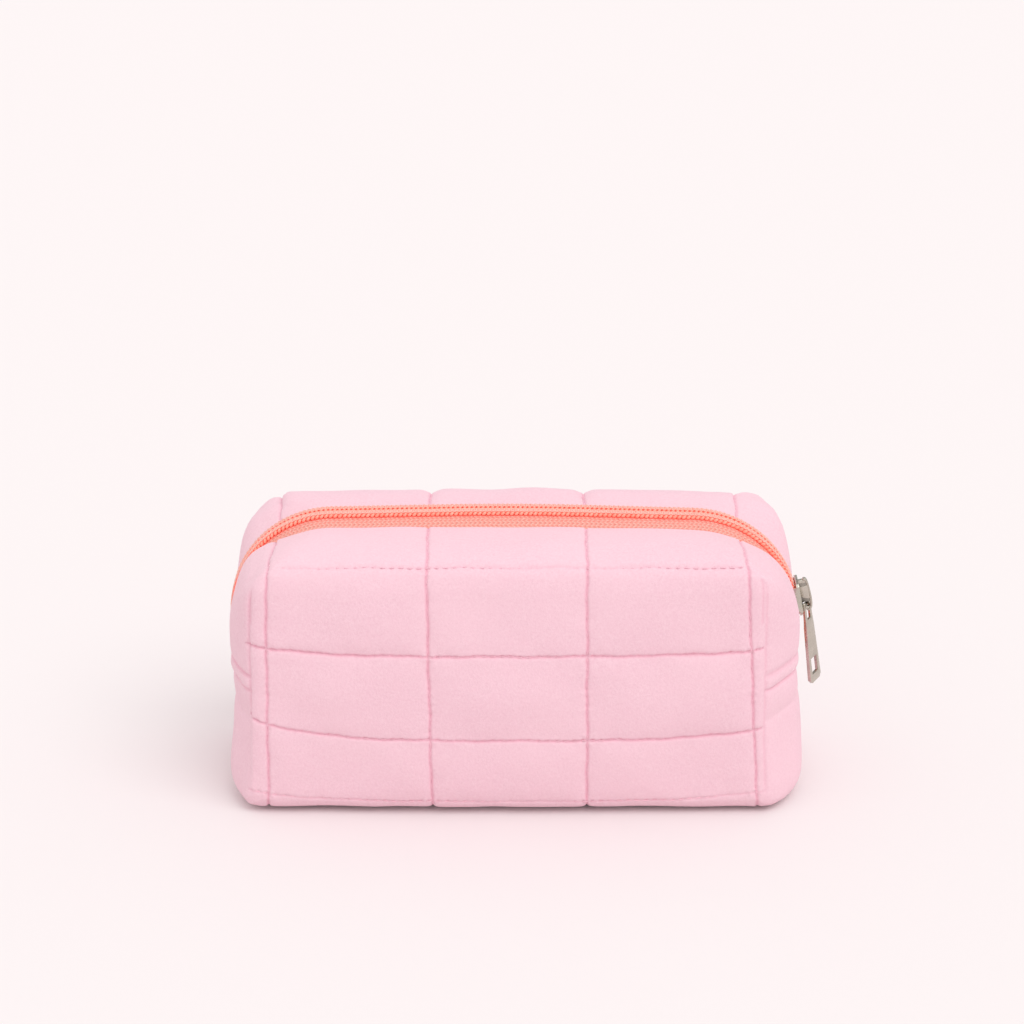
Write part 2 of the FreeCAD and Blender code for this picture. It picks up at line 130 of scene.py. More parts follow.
# ---- quilting
COLUMN_X = THREAD_HIGH[0] - 3.5
COLUMNS = [0.8 - COLUMN_X, 0.5 - COLUMN_X / 3, COLUMN_X / 3, COLUMN_X]
COLUMN_LEAN = [-0.8, 1.2, 0.5, 4.4]  # how far right each column ends at the bottom
LEAN_FROM = 78.0  # the height at which they start to lean
ROWS = [5.0, 26.8, 55.6, 84.8]
ROW_LIFT = [(2.8, 2.8), (6.1, 3.0), (2.7, 1.4), (0.0, 0.0)]  # their rise to the left and right
ROW_HALF = 80.0
ROW_ENDS = [82.0, 82.0, 82.0, 76.5]  # where each row stops on the right
ROW_FURTHER_LEFT = 1.5
STITCH = 2.9
ROW_PULL = [0.4, 1.0, 1.0, 0.35]  # how tightly each row is sewn
QUILT_DEPTH = 1.25  # how far the stitching pulls the filling in
QUILT_REACH = 3.8  # how far from a line it still does
CREASE_DEPTH = 0.5  # the narrow fold of pile on top of that
CREASE_REACH = 0.45
SWELL_CAP = 1.7  # the most that a filled panel may rise
SWELL_BASE = 0.9  # the rise that the base surface already holds
PUCKER_ROW = 0.22  # how far fabric draws up between a row's stitches
PUCKER_COLUMN = 0.12  # and of a column
CORNER_PULL = 0.4  # how deep the boxed-corner seams lie
CORNER_INSET = 1.9  # their depth behind the faces
CORNER_FOOT = (4.0, 12.0)  # the heights where they fade in and out
CORNER_TOP = (74.0, 84.0)
LEFT_FLARE = 3.2  # how far the left ones swing out at the foot
NOTCH = 1.0  # how deep the columns cut into the back's upper edge
END_EDGES = (3.3, -1.5)  # the edges of the covered allowance, above the end seam
END_FOLD_Z = 32.5  # a soft fold in the ends
TUCK_X = 76.0  # where the top row turns down at a corner
TUCK_R = 5.5
TUCK_END_Z = 66.0


# ---- helpers
def ease(low, high, x):
    t = np.clip((x - low) / (high - low), 0.0, 1.0)
    return t * t * (3 - 2 * t)


def bump(distance, width):
    """A smooth bump of height 1 at distance 0."""
    return np.exp(-(distance / width) ** 2)


def ripple(p, wave, seed=0):
    """Irregular waves about `wave` long, between about -1 and 1, the same on each run."""
    rng = np.random.default_rng(seed)
    total = np.zeros(len(p))
    for _ in range(7):
        direction = rng.normal(size=3)
        direction /= np.linalg.norm(direction)
        k = tau / wave * rng.uniform(0.6, 1.5)
        total += np.sin(p @ direction * k + rng.uniform(0, tau))
    return total / 3.0


def outline_parts(points, radii):
    """The edges' outward normals and offsets, and the rounded corners' centres."""
    n = len(points)
    edges = []
    for i in range(n):
        a, b = np.array(points[i]), np.array(points[(i + 1) % n])
        d = (b - a) / np.linalg.norm(b - a)
        normal = np.array([d[1], -d[0]])
        edges.append((normal, normal @ a))
    corners = []
    for i in range(n):
        (n1, c1), (n2, c2) = edges[i - 1], edges[i]
        centre = np.linalg.solve(np.array([n1, n2]), np.array([c1, c2]) - radii[i])
        corners.append((centre, radii[i], n1, n2))
    return edges, corners


def outline_distance(points, radii):
    """A function of (u, v): how far outside a convex rounded outline a point is."""
    edges, corners = outline_parts(points, radii)

    def distance(u, v):
        best = np.full(u.shape, -1e9)
        for normal, c in edges:
            best = np.maximum(best, normal[0] * u + normal[1] * v - c)
        for centre, r, n1, n2 in corners:
            du, dv = u - centre[0], v - centre[1]
            inside = (n1[0] * dv - n1[1] * du >= 0) & (du * n2[1] - dv * n2[0] >= 0)
            best = np.where(inside, np.hypot(du, dv) - r, best)
        return best

    return distance


FRONT_DISTANCE = outline_distance(FRONT_VIEW, FRONT_RADII)
END_DISTANCE = outline_distance(END_VIEW, END_RADII)
PLAN_DISTANCE = outline_distance(PLAN_VIEW, PLAN_RADII)


# the middle, the corners and the face middles of a cube in a ball
SOFT_STEPS = [np.zeros(3)]
SOFT_STEPS += [(np.array(c) * 2 - 1) * SOFTEN / math.sqrt(3) for c in np.ndindex(2, 2, 2)]
SOFT_STEPS += [axis * way for axis in np.eye(3) for way in (SOFTEN, -SOFTEN)]


def sharp_distance(p):
    x, y, z = p.T
    return np.maximum.reduce([FRONT_DISTANCE(x, z), END_DISTANCE(y, z), PLAN_DISTANCE(x, y)])


def soft_distance(p):
    """The distance averaged over a small ball, which rounds every sharp meeting."""
    return sum(sharp_distance(p + step) for step in SOFT_STEPS) / len(SOFT_STEPS)


def land_on_bag(origin, ray):
    """Where rays from inside meet the convex base surface, by stepping in from far outside."""
    reach = np.full(len(origin), 100.0)
    probe = 0.05
    for distance, rounds in ((sharp_distance, 7), (soft_distance, 3)):
        for _ in range(rounds):
            here = distance(origin + ray * reach[:, None])
            back = distance(origin + ray * (reach - probe)[:, None])
            reach = np.clip(reach - here / np.maximum((here - back) / probe, 0.1), 0.0, 100.0)
    return origin + ray * reach[:, None]


# ---- shell grid
CORE_X = 78.5
CORE_Y = 26.0
CORE_Z = (12.0, 76.0)
FRONT_REACH = 11.0  # from the core to the front face

Grid = collections.namedtuple("Grid", "step fine slot_fine fan")
SHOWN_GRID = Grid(1.15, 0.3, 0.15, 18)
CLOTH_GRID = Grid(3.4, 2.6, 2.6, 7)


def spaced_lines(low, high, step, fine_at, fine_step, fine_reach):
    """Levels from low to high, on each `fine_at` level and closer together near them."""
    marks = sorted({low, high, *(f for f in fine_at if low < f < high)})
    lines = [np.array([low])]
    for a, b in zip(marks[:-1], marks[1:]):
        t = np.linspace(a, b, 400)
        near = np.min([abs(t - f) for f in fine_at], axis=0)
        density = 1 / (fine_step + (step - fine_step) * np.clip(near / fine_reach - 1, 0, 1))
        total = np.concatenate([[0], np.cumsum((density[1:] + density[:-1]) / 2 * np.diff(t))])
        count = max(1, round(total[-1]))
        lines.append(np.interp(np.linspace(0, total[-1], count + 1)[1:], total, t))
    return np.concatenate(lines)


def row_lift(z, x):
    """How far the rows' rise carries the grid up."""
    levels = [-6.0] + ROWS + [ROOF_Z + 0.5]
    left, right = (np.interp(z, levels, [0.0, *side, 0.0]) for side in zip(*ROW_LIFT))
    return np.where(np.asarray(x) < 0, left, right) * np.clip(abs(x) / ROW_HALF, 0, 1) ** 4


def lean_share(z):
    """The share of its lean that a column has at height z."""
    return np.clip(1 - z / LEAN_FROM, 0.0, 1.0)


def column_lean(x, z):
    """How far the columns' lean carries the grid sideways."""
    lean = np.interp(x, [END_LEFT, *COLUMNS, END_RIGHT], [0.0, *COLUMN_LEAN, 0.0])
    return lean * lean_share(z)


def level_under_lift(target, x):
    """The grid level that the rows' rise carries to `target` at x."""
    level = target
    for _ in range(30):
        level = target - row_lift(level, x)
    return float(level)


def fanned(lines, core, fan):
    """Ray origins and slopes of one axis: parallel over the core, fanned at both edges."""
    origins = np.concatenate([np.full(len(fan), -core), lines, np.full(len(fan), core)])
    slopes = np.concatenate([-fan[::-1], np.zeros(len(lines)), fan])
    return origins, slopes


def grid_lines(grid):
    """For each axis, the ray origins and slopes of the shell's grid lines; and the end seams."""
    fan = np.tan(np.linspace(0, pi / 4, grid.fan + 1)[1:])
    x = spaced_lines(-CORE_X, CORE_X, grid.step, COLUMNS, grid.fine, 2.0)
    y = spaced_lines(-CORE_Y, CORE_Y, grid.step, [-SLOT_HALF, 0.0, SLOT_HALF], grid.slot_fine, 1.2)
    seams = [level_under_lift(SEAM_Z, x) for x in (-ROW_HALF, ROW_HALF)]
    z = spaced_lines(CORE_Z[0] - FRONT_REACH, CORE_Z[1] + FRONT_REACH, grid.step,
                     ROWS + seams, grid.fine, 2.0)
    z_origins = np.clip(z, *CORE_Z)
    z_axis = (z_origins, (z - z_origins) / FRONT_REACH)
    at_seams = [int(np.argmin(abs(z - level))) for level in seams]
    return fanned(x, CORE_X, fan), fanned(y, CORE_Y, fan), z_axis, at_seams


def box_faces(counts):
    """Quads, as grid codes, that cover the outside of a box of grid lines."""
    nx, ny, nz = counts
    quads = []
    for axis, flipped in ((1, False), (2, True), (0, True)):
        a, b = [k for k in range(3) if k != axis]
        ia, ib = np.meshgrid(np.arange(counts[a] - 1), np.arange(counts[b] - 1), indexing="ij")
        for index, turn in ((0, flipped), (counts[axis] - 1, not flipped)):
            corners = []
            for da, db in ((0, 0), (1, 0), (1, 1), (0, 1)):
                place = {axis: np.full(ia.size, index), a: (ia + da).ravel(), b: (ib + db).ravel()}
                corners.append((place[0] * ny + place[1]) * nz + place[2])
            block = np.stack(corners, 1)
            quads.append(block[:, ::-1] if turn else block)
    return np.concatenate(quads)


def grid_rays(i, n, slopes):
    """One axis's part of the rays: straight out on the end faces, else the line's slope."""
    return np.where(i == n - 1, 1.0, np.where(i == 0, -1.0, slopes[i]))


def shell_grid(grid):
    """The base surface as (points, quads, which quads are in the slot, which are in front)."""
    (xs, xe), (ys, ye), (zs, ze), seams = grid_lines(grid)
    nx, ny, nz = len(xs), len(ys), len(zs)
    codes, inverse = np.unique(box_faces((nx, ny, nz)), return_inverse=True)
    faces = inverse.reshape(-1, 4)
    i, j, k = codes // (ny * nz), codes // nz % ny, codes % nz
    origin = np.stack([xs[i], ys[j], zs[k]], 1)
    level = zs[k] + ze[k] * FRONT_REACH
    origin[:, 2] += row_lift(level, xs[i])
    origin[:, 0] += column_lean(xs[i], level)
    ray = np.stack([grid_rays(i, nx, xe), grid_rays(j, ny, ye), grid_rays(k, nz, ze)], 1)
    ray /= np.linalg.norm(ray, axis=1)[:, None]
    points = land_on_bag(origin, ray)

    slot_low, middle, slot_high = (int(np.argmin(abs(ys - y) + abs(ye) * 100))
                                   for y in (-SLOT_HALF, 0.0, SLOT_HALF))
    fi, fj, fz = i[faces], j[faces], k[faces]
    across = (fj.min(1) >= slot_low) & (fj.max(1) <= slot_high)
    top = fz.min(1) == nz - 1
    ends = (fi.max(1) == 0) & (fz.min(1) >= seams[0])
    ends |= (fi.min(1) == nx - 1) & (fz.min(1) >= seams[1])
    return points, faces, across & (top | ends), fj.max(1) <= middle


def vertex_normals(points, faces):
    a, b, c, d = (points[faces[:, n]] for n in range(4))
    face = np.cross(c - a, d - b)
    normals = np.zeros_like(points)
    for n in range(4):
        np.add.at(normals, faces[:, n], face)
    return normals / np.maximum(np.linalg.norm(normals, axis=1), 1e-12)[:, None]


# ---- quilting field
def plateau(distance, reach):
    """0 on a stitched line, rising steeply and then levelling to 1 at `reach`."""
    t = np.clip(distance / reach, 0.0, 1.0)
    return (1 - (1 - t) ** 2.4) ** 0.8


def wander(along, seed):
    """The small sideways drift of a hand-guided line of stitching."""
    return 0.14 * np.sin(along * 0.21 + seed * 1.7) + 0.10 * np.sin(along * 0.63 + seed * 2.9)


def column_x(column, p):
    lean = COLUMN_LEAN[column] * lean_share(p[:, 2])
    return COLUMNS[column] + lean + wander(p[:, 2] - abs(p[:, 1]), column)


def row_height(row, x):
    lift = np.where(x < 0, *ROW_LIFT[row])
    return ROWS[row] + lift * np.clip(abs(x) / ROW_HALF, 0, 1.05) ** 4 + wander(x, row + 7)


def line_distances(p, normals):
    """Distance from each point to the nearest column and row, and that row's pull."""
    x, _, z = p.T
    nx, ny, _ = abs(normals.T)
    across = np.maximum(np.sqrt(1 - nx ** 2), 0.4)
    column = np.min([abs(x - column_x(c, p)) for c in range(len(COLUMNS))], axis=0) / across
    levels = [abs(z - row_height(r, x)) for r in range(len(ROWS))]
    nearest = np.argmin(levels, axis=0)
    outward = np.maximum(x, -x - ROW_FURTHER_LEFT)
    past_end = np.maximum(outward - np.array(ROW_ENDS)[nearest], 0.0)
    level = np.min(levels, axis=0) / np.maximum(ny, 0.4)
    row = np.hypot(level, past_end * 2.5) + (1 - ease(0.25, 0.6, ny)) * 30.0
    return column, row, np.array(ROW_PULL)[nearest]


def corner_distance(p):
    """Distance to the upright boxed-corner seams, which flare out at the left foot."""
    x, y, z = p.T
    left_x = 1.0 - CORNER_SEAM_X - LEFT_FLARE * (1 - ease(8.0, 45.0, z))
    return np.hypot(x - np.where(x > 0, CORNER_SEAM_X - 0.2, left_x), abs(y) - HALF_DEPTH + CORNER_INSET)


def tuck_distance(p):
    """Distance to the short fold that runs down from each outer end of the top rows."""
    x, z = abs(p[:, 0]) - TUCK_X, p[:, 2] - (ROWS[3] - TUCK_R)
    bend = np.where((x > 0) & (z > 0), abs(np.hypot(x, z) - TUCK_R), 1e3)
    down = np.where((z <= 0) & (p[:, 2] > TUCK_END_Z), abs(x - TUCK_R), 1e3)
    return np.minimum(bend, down)


def quilting(p, normals, swell):
    """How far the velvet stands out of the base surface, as (height, how deep in a crease)."""
    x, y, z = p.T
    nx, ny, nz = normals.T
    column, row, pull = line_distances(p, normals)
    near = np.minimum(column, row)
    in_row = (1 - plateau(row, QUILT_REACH)) * pull
    filled = plateau(column, QUILT_REACH) * (1 - in_row)
    crease = np.maximum(bump(column, CREASE_REACH), pull * bump(row, CREASE_REACH))
    h = -QUILT_DEPTH * (1 - filled) - CREASE_DEPTH * crease
    h += (swell - SWELL_BASE) * filled
    # the fabric draws up between stitches
    on_row = row < column
    along = np.where(on_row, x, z - abs(y))
    pucker = np.where(on_row, PUCKER_ROW, PUCKER_COLUMN) * bump(near, 1.3)
    h += pucker * np.cos(tau * along / STITCH)
    h += 0.16 * np.exp(-near / 3.0) * ripple(p, 8.0, 1) + 0.18 * ripple(p, 30.0, 2) * filled
    # boxed corners, and the notches that the columns cut into the back's upper edge
    corner = corner_distance(p)
    upright = ease(*CORNER_FOOT, z) * (1 - ease(*CORNER_TOP, z))
    h -= upright * CORNER_PULL * (1 - plateau(corner, 3.5) + bump(corner, 0.6))
    h -= ease(14.0, 24.0, y) * ease(0.4, 0.8, nz) * NOTCH * bump(column, 2.4)
    facing = ease(0.5, 0.8, abs(ny))
    tuck = tuck_distance(p)
    h -= facing * (0.35 * bump(tuck, 0.6) + 0.12 * bump(tuck, 2.0))
    # end seams: the two edges of the seam's covered allowance, and a soft fold below
    end = ease(0.45, 0.8, abs(nx))
    edges = np.min([abs(z - SEAM_Z - edge) for edge in END_EDGES], axis=0)
    band = 1 - ease(1.6, 3.2, abs(z - SEAM_Z - sum(END_EDGES) / 2))
    h += end * (0.35 * band - 0.75 * bump(edges, 0.6) - 0.35 * bump(edges, 1.8))
    fold = abs(z - END_FOLD_Z - 1.2 * ripple(p, 60.0, 5))
    h -= end * (0.35 * bump(fold, 2.6) + 0.2 * bump(fold, 0.9))
    # bottom seam, which also runs up the ends to the end seam
    under = ((z < SEAM_Z - 3) & (abs(ny) < 0.6)).astype(float)
    h -= under * (0.5 * bump(y, 0.8) + 0.4 * (1 - plateau(abs(y), 3.5)))
    # these crease marks also become the velvet's painted shade in the folds and seams
    crease = np.maximum.reduce([crease, 0.6 * end * bump(edges, 0.6), 0.5 * facing * bump(tuck, 0.6),
                                0.5 * upright * bump(corner, 0.6)])
    return h, crease


# ---- the filled bag's slow shape
FACE_BULGE = 2.6  # how far the front and back stand out in their middle
FACE_MIDDLE_Z = 38.0
FACE_HALF = (84.0, 42.0)  # how far the bulge reaches, sideways and up
BACK_TOP_BULGE = 1.3
LEFT_HOLLOW = 1.3  # how far the left end is drawn in below its seam
ZIP_SAG = 1.9  # how far the laminate dips towards the zip
ZIP_SAG_REACH = 17.0
EDGE_ROUND = 1.1  # rounding of the velvet's turned edge
OVERHANG_TOP = 1.4  # how far the velvet's edge lies over the tape, on the top
OVERHANG_RIGHT = 2.4  # and round the end arches, with room for the slider
OVERHANG_LEFT = 4.2
OVERHANG_FROM = 9.0
SHOULDER_BEHIND = (3.4, 4.8)  # how far the left and right upper corners stand out
SHOULDER_FRONT = (1.7, 0.9)  # and in front of the zip
FOOT_OUT = (0.9, 2.3)  # how far the left and right feet stand out at the ends
FOOT_FORWARD = 3.0  # and at the front and back


def beside_zip(p, normals):
    """1 where the fabric borders the zip, 0 elsewhere; and the distance from the zip's slot."""
    _, y, z = p.T
    above = ease(SEAM_Z - 3.0, SEAM_Z + 1.0, z) * ease(0.3, 0.6, 1 - abs(normals[:, 1]))
    return above, np.maximum(abs(y) - SLOT_HALF, 0.0)


def zip_sink(upward):
    """The share of the dip towards the zip; down the ends the velvet stands proud of it."""
    return -0.4 + 1.4 * ease(0.4, 0.97, upward)


def body_shape(p, normals):
    """Slow rises and falls of the stuffed bag on its base surface."""
    x, y, z = p.T
    nx, ny, nz = normals.T
    mid_x = np.clip(1 - (x / FACE_HALF[0]) ** 2, 0, 1)
    mid_z = np.clip(1 - ((z - FACE_MIDDLE_Z) / FACE_HALF[1]) ** 2, 0, 1)
    out = ease(0.5, 0.9, abs(ny)) * FACE_BULGE * mid_x * mid_z
    out += ease(0.6, 0.95, nz) * BACK_TOP_BULGE * mid_x * ease(10, 24, y)
    hollow = ease(4.0, 26.0, z) * (1 - ease(34.0, SEAM_Z, z))
    out -= LEFT_HOLLOW * ease(0.5, 0.9, -nx) * hollow
    above, past = beside_zip(p, normals)
    return out - above * ZIP_SAG * zip_sink(nz) * (1 - ease(0.0, ZIP_SAG_REACH, past))


def edge_round(p, normals):
    above, past = beside_zip(p, normals)
    return above * EDGE_ROUND * (1 - plateau(past, 1.5))


def shoulders(p, normals):
    """How far the filling rounds the upper corners out, most of all behind the zip."""
    x, y, _ = p.T
    nx, ny, nz = normals.T
    slope = abs(nx) - nz
    width = np.where(y > 0, np.where(slope > 0, 0.75, 0.55), 0.42)
    behind = ease(9, 24, y) * np.where(x < 0, *SHOULDER_BEHIND)
    front = (1 - ease(12, 30, -y)) * np.where(x < 0, *SHOULDER_FRONT)
    shoulder = bump(slope, width) * ease(0.0, 0.35, nz) * np.where(y > 0, behind, front)
    return shoulder * (1 - ease(0.05, 0.9, abs(ny)))


def laid(p, normals):
    """The points with the corners filled out and the edges drawn over the zip's tape."""
    x, y, z = p.T
    full = normals * shoulders(p, normals)[:, None]
    full[:, 0] *= ease(75.0, 86.0, abs(x))
    above, past = beside_zip(p, normals)
    at_end = np.where(x > 0, OVERHANG_RIGHT, OVERHANG_LEFT)
    reach = at_end + (OVERHANG_TOP - at_end) * ease(0.5, 0.95, normals[:, 2])
    full[:, 1] -= np.sign(y) * above * reach * (1 - ease(0.0, OVERHANG_FROM, past))
    foot = (1 - ease(3.0, 34.0, z)) * ease(77.0, 89.0, abs(x))
    full[:, 0] += foot * np.where(x < 0, -FOOT_OUT[0], FOOT_OUT[1])
    full[:, 1] += foot * FOOT_FORWARD * np.sign(y) * ease(6.0, 24.0, abs(y))
    return p + full


# ---- cloth simulation of the filling
CLOTH_FRAMES = 20
CLOTH_PRESSURE = 4.0
CLOTH_INSET = 0.8  # how far inside the base surface the cloth starts
CLOTH_STRETCH = 0.02
SEWN_REACH = 1.3  # how close to the stitching it is sewn down


def held_by_stitches(points, normals):
    """Which points of the cloth are sewn down."""
    column, row, _ = line_distances(points, normals)
    above, past = beside_zip(points, normals)
    seam = np.where(abs(normals[:, 0]) > 0.5, abs(points[:, 2] - SEAM_Z), 1e3)
    corner = corner_distance(points)
    zip_edge = (above > 0.5) & (past < 1.0)
    underneath = points[:, 2] < 1.0
    nearest = np.minimum.reduce([column, row, seam, corner])
    return (nearest < SEWN_REACH) | zip_edge | underneath


def inflate(obj, held):
    """The object's points, in metres, after Blender's cloth has been blown up."""
    group = obj.vertex_groups.new(name="sewn")
    group.add([int(v) for v in np.flatnonzero(held)], 1.0, "REPLACE")
    cloth = obj.modifiers.new("filling", "CLOTH")
    settings = cloth.settings
    settings.vertex_group_mass = group.name
    settings.use_pressure = True
    settings.uniform_pressure_force = CLOTH_PRESSURE
    settings.shrink_min = -CLOTH_STRETCH
    settings.effector_weights.gravity = 0.0
    cloth.point_cache.frame_start, cloth.point_cache.frame_end = 1, CLOTH_FRAMES
    for number in range(1, CLOTH_FRAMES + 1):
        SCENE.frame_set(number)
    settled = obj.evaluated_get(bpy.context.evaluated_depsgraph_get()).to_mesh()
    co = np.zeros(len(settled.vertices) * 3)
    settled.vertices.foreach_get("co", co)
    SCENE.frame_set(1)
    return co.reshape(-1, 3)


def quad_edges(faces):
    return np.concatenate([faces[:, [a, (a + 1) % 4]] for a in range(4)])


def evened(values, faces, held):
    """The values averaged with their neighbours' where the cloth is free."""
    edges = np.unique(np.sort(quad_edges(faces), 1), axis=0)
    count = np.bincount(edges.ravel(), minlength=len(values))
    for _ in range(8):
        total = np.zeros(len(values))
        np.add.at(total, edges[:, 0], values[edges[:, 1]])
        np.add.at(total, edges[:, 1], values[edges[:, 0]])
        values = np.where(held, values, 0.4 * values + 0.6 * total / count)
    return values


def simulated_swell():
    """How far the filling lifts the fabric, as (points on the base surface, rise)."""
    points, faces, _, _ = shell_grid(CLOTH_GRID)
    normals = vertex_normals(points, faces)
    start = points - normals * CLOTH_INSET
    form = make_object("cloth_form", start, faces)
    held = held_by_stitches(points, normals)
    settled = inflate(form, held) / MM
    bpy.data.objects.remove(form)
    rise = ((settled - start) * normals).sum(1)
    return points, evened(np.clip(rise, -0.3, SWELL_CAP), faces, held)


def spread_to(points, known, values, count=6, reach=2.6):
    """Values carried from known points to others, weighting the nearest ones."""
    tree = kdtree.KDTree(len(known))
    for n, p in enumerate(known):
        tree.insert(p, n)
    tree.balance()
    result = np.zeros(len(points))
    for n, p in enumerate(points):
        found = tree.find_n(p, count)
        weights = [math.exp(-(distance / reach) ** 2) + 1e-6 for _, _, distance in found]
        result[n] = sum(w * values[f[1]] for w, f in zip(weights, found)) / sum(weights)
    return result


def panel_swell(points):
    """The rise of the filled panels at the shown mesh's points."""
    return spread_to(points, *simulated_swell())


# ---- mesh output
def linked(data):
    """A mesh, light or camera as an object in the scene."""
    obj = bpy.data.objects.new(data.name, data)
    SCENE.collection.objects.link(obj)
    return obj


def make_object(name, points, faces, uv=None, crease=None):
    """A smooth-shaded mesh object, in metres."""
    mesh = bpy.data.meshes.new(name)
    mesh.from_pydata((np.asarray(points) * MM).tolist(), [], [list(map(int, f)) for f in faces])
    mesh.validate()
    mesh.polygons.foreach_set("use_smooth", [True] * len(mesh.polygons))
    if uv is not None:
        layer = mesh.uv_layers.new(name="along_across")
        loops = np.zeros(len(mesh.loops), int)
        mesh.loops.foreach_get("vertex_index", loops)
        layer.data.foreach_set("uv", np.asarray(uv)[loops].ravel())
    # the crease attribute says where the velvet's painted shade goes
    if crease is not None:
        layer = mesh.attributes.new("crease", "FLOAT", "POINT")
        layer.data.foreach_set("value", np.asarray(crease, np.float32))
    return linked(mesh)


def add_piece(obj, body, material, stands_for=()):
    """Ride the piece on its body, with its finish, in place of the CAD nodes it stands for."""
    obj.data.materials.append(material)
    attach(obj, body)
    if stands_for:
        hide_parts(*stands_for)
    return obj


def soft_piece(name, points, faces, slot, material, *stands_for, **layers):
    """A piece that rides on the bag."""
    obj = make_object(name, points, faces, **layers)
    return add_piece(obj, "bag", material, stands_for)


def closed_sheet(outer, inner, faces):
    """A solid's points and faces from two copies of a sheet, and which points it uses."""
    used, packed = np.unique(faces, return_inverse=True)
    packed = packed.reshape(faces.shape)
    n = len(used)
    edges = quad_edges(packed)
    key = np.sort(edges, 1)
    _, first, count = np.unique(key[:, 0] * n + key[:, 1], return_index=True, return_counts=True)
    rim = edges[first[count == 1]]
    walls = np.stack([rim[:, 1], rim[:, 0], rim[:, 0] + n, rim[:, 1] + n], 1)
    all_faces = np.concatenate([packed, packed[:, ::-1] + n, walls])
    return np.concatenate([outer[used], inner[used]]), all_faces, used


def build_shell():
    """The quilted laminate and the lining inside it, each as a front and a back half."""
    points, faces, slot, front = shell_grid(SHOWN_GRID)
    normals = vertex_normals(points, faces)
    height, crease = quilting(points, normals, panel_swell(points))
    slow = body_shape(points, normals)
    base = laid(points, normals)
    outer = base + normals * (height + slow - edge_round(points, normals))[:, None]
    outer[:, 2] = np.maximum(outer[:, 2], 0.05)
    velvet_in = base + normals * (slow - LAMINATE)[:, None]
    lining_out = base + normals * (slow - LAMINATE - LINING_GAP)[:, None]
    crinkle = 0.25 * ripple(points, 14.0, 8) + 0.25
    lining_in = base + normals * (slow - LAMINATE - LINING_IN - crinkle)[:, None]
    for name, mask in (("front", front & ~slot), ("back", ~front & ~slot)):
        sheet, quads, used = closed_sheet(outer, velvet_in, faces[mask])
        # painted shade marks: the outer face gets the crease values, the inner face none
        marks = np.concatenate([crease[used], np.zeros(len(used))])
        soft_piece(f"{name}_quilted_velvet", sheet, quads, "velvet", VELVET, f"{name}_velvet",
                   f"{name}_wadding", crease=marks)
        sheet, quads, _ = closed_sheet(lining_out, lining_in, faces[mask])
        soft_piece(f"{name}_lining_cloth", sheet, quads, "lining", LINING, f"{name}_lining")


# ---- the zip's path
ARC_STEPS = 90


class OutlinePath:
    """The front-view outline, from the right end seam over the top to the left one."""

    def __init__(self, end_z=SEAM_Z - 2.0):
        _, corners = outline_parts(FRONT_VIEW, FRONT_RADII)
        points = [(END_RIGHT, end_z)]
        normals = [(1.0, 0.0)]
        for centre, r, n1, n2 in corners[2:]:
            a0 = math.atan2(n1[1], n1[0])
            a1 = math.atan2(n2[1], n2[0]) % tau
            for a in np.linspace(a0, a1, ARC_STEPS):
                normals.append((math.cos(a), math.sin(a)))
                points.append(centre + r * np.array(normals[-1]))
        points.append((END_LEFT, end_z))
        normals.append((-1.0, 0.0))
        self.points, self.normals = np.array(points), np.array(normals)
        steps = np.linalg.norm(np.diff(self.points, axis=0), axis=1)
        self.at = np.concatenate([[0.0], np.cumsum(steps)])
        self.length = self.at[-1]
        self.arch_end = self.at[ARC_STEPS]  # where the right-hand arch meets the straight top

    def place(self, s, y, out):
        """Points at lengths s along the path, y across it and `out` outwards from it."""
        px, pz = (np.interp(s, self.at, self.points[:, n]) for n in (0, 1))
        nx, nz = (np.interp(s, self.at, self.normals[:, n]) for n in (0, 1))
        scale = np.hypot(nx, nz)
        return np.stack([px + nx / scale * out, y + 0 * px, pz + nz / scale * out], -1)

    def upward(self, s):
        """The upward part of the path's outward direction."""
        return np.interp(s, self.at, self.normals[:, 1])

    def length_at_height(self, z):
        """How far along the path the right-hand arch passes height z."""
        half = len(self.at) // 3
        return float(np.interp(z, self.points[:half, 1], self.at[:half]))


ZIP = OutlinePath()
COIL_SPREAD = 1.2
SPREAD_Z = (46.0, 50.0, 59.4, 63.0)
SPREAD_S = [ZIP.length_at_height(z) for z in SPREAD_Z]


def chain_spread(s):
    """How far the slider's wedge holds each coil from the middle."""
    return np.interp(s, SPREAD_S, [0.0, COIL_SPREAD, COIL_SPREAD, 0.0])


# ---- tubes
def tube_mesh(centres, radius, sides):
    """Points and faces of a closed round tube along a polyline, with no twist."""
    centres = np.asarray(centres)
    tangent = np.gradient(centres, axis=0)
    tangent /= np.linalg.norm(tangent, axis=1)[:, None]
    up = np.zeros_like(tangent)
    up[0] = np.cross(tangent[0], [0.3, 0.5, 0.81])
    up[0] /= np.linalg.norm(up[0])
    for n in range(1, len(up)):
        v = up[n - 1] - tangent[n] * (up[n - 1] @ tangent[n])
        up[n] = v / np.linalg.norm(v)
    side = np.cross(tangent, up)
    angles = np.arange(sides) * tau / sides
    ring = up[:, None] * np.cos(angles)[None, :, None] + side[:, None] * np.sin(angles)[None, :, None]
    r = np.broadcast_to(radius, (len(centres),))
    points = (centres[:, None] + ring * r[:, None, None]).reshape(-1, 3)
    return points, strip_faces(len(centres), sides)


def strip_faces(rows, sides, flip=False):
    """Quads round a swept closed profile of `sides` points, and its two end faces."""
    a = np.arange(rows - 1)[:, None] * sides + np.arange(sides)[None]
    b = np.arange(rows - 1)[:, None] * sides + (np.arange(sides)[None] + 1) % sides
    quads = np.stack([a, b, b + sides, a + sides], -1).reshape(-1, 4)
    first = list(range(sides))[::-1]
    last = [(rows - 1) * sides + n for n in range(sides)]
    faces = quads.tolist() + [first, last]
    return [face[::-1] for face in faces] if flip else faces


